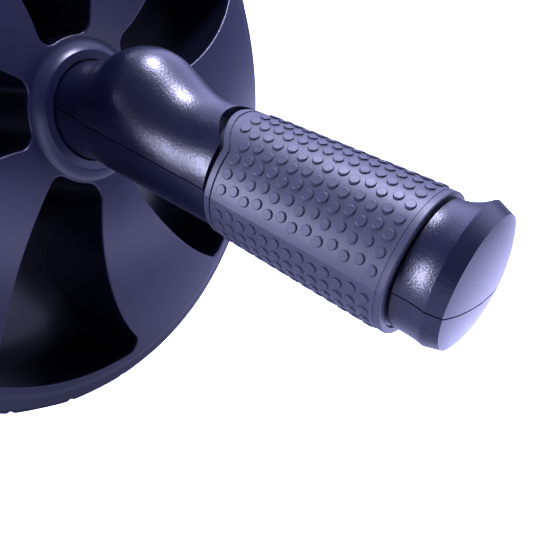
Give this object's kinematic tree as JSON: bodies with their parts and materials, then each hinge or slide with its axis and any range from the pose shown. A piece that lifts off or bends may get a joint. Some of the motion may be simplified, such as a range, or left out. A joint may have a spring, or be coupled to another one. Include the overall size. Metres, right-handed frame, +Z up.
{
  "type": "ab wheel roller",
  "caption": "Wide domed exercise wheel with swirled spokes and a grooved tread, free to spin on an axle between two drooping clamshell handles with dotted rubber grips.",
  "frame": {"origin": "centre of the wheel, on the axle", "axes": "+X along the axle towards the pictured handle, +Z up with the handles drooping below the axle, Y front to back"},
  "size_m": [0.3636, 0.2094, 0.2094],
  "materials": {
    "wheel_plastic": "satin moulded plastic",
    "tread_rubber": "matt rubber",
    "handle_plastic": "satin black moulded plastic",
    "grip_rubber": "matt soft rubber",
    "axle_steel": "bright steel",
    "bush_nylon": "natural nylon",
    "fastener_steel": "zinc-plated steel"
  },
  "bodies": {
    "handles": {"axle": "axle_steel", "thrust_washer_right": "fastener_steel", "axle_pin_right": "fastener_steel", "handle_upper_right": "handle_plastic", "handle_lower_right": "handle_plastic", "grip_right": "grip_rubber", "neck_screw_right": "fastener_steel", "cap_screw_right": "fastener_steel", "thrust_washer_left": "fastener_steel", "axle_pin_left": "fastener_steel", "handle_upper_left": "handle_plastic", "handle_lower_left": "handle_plastic", "grip_left": "grip_rubber", "neck_screw_left": "fastener_steel", "cap_screw_left": "fastener_steel"},
    "wheel": {"tread": "tread_rubber", "wheel_half_right": "wheel_plastic", "hub_bush_right": "bush_nylon", "wheel_half_left": "wheel_plastic", "hub_bush_left": "bush_nylon"}
  },
  "joints": [
    {"name": "wheel_spin", "type": "hinge", "parent": "handles", "child": "wheel", "pos_m": [0, 0, 0], "axis": [1, 0, 0], "continuous": true}
  ]
}
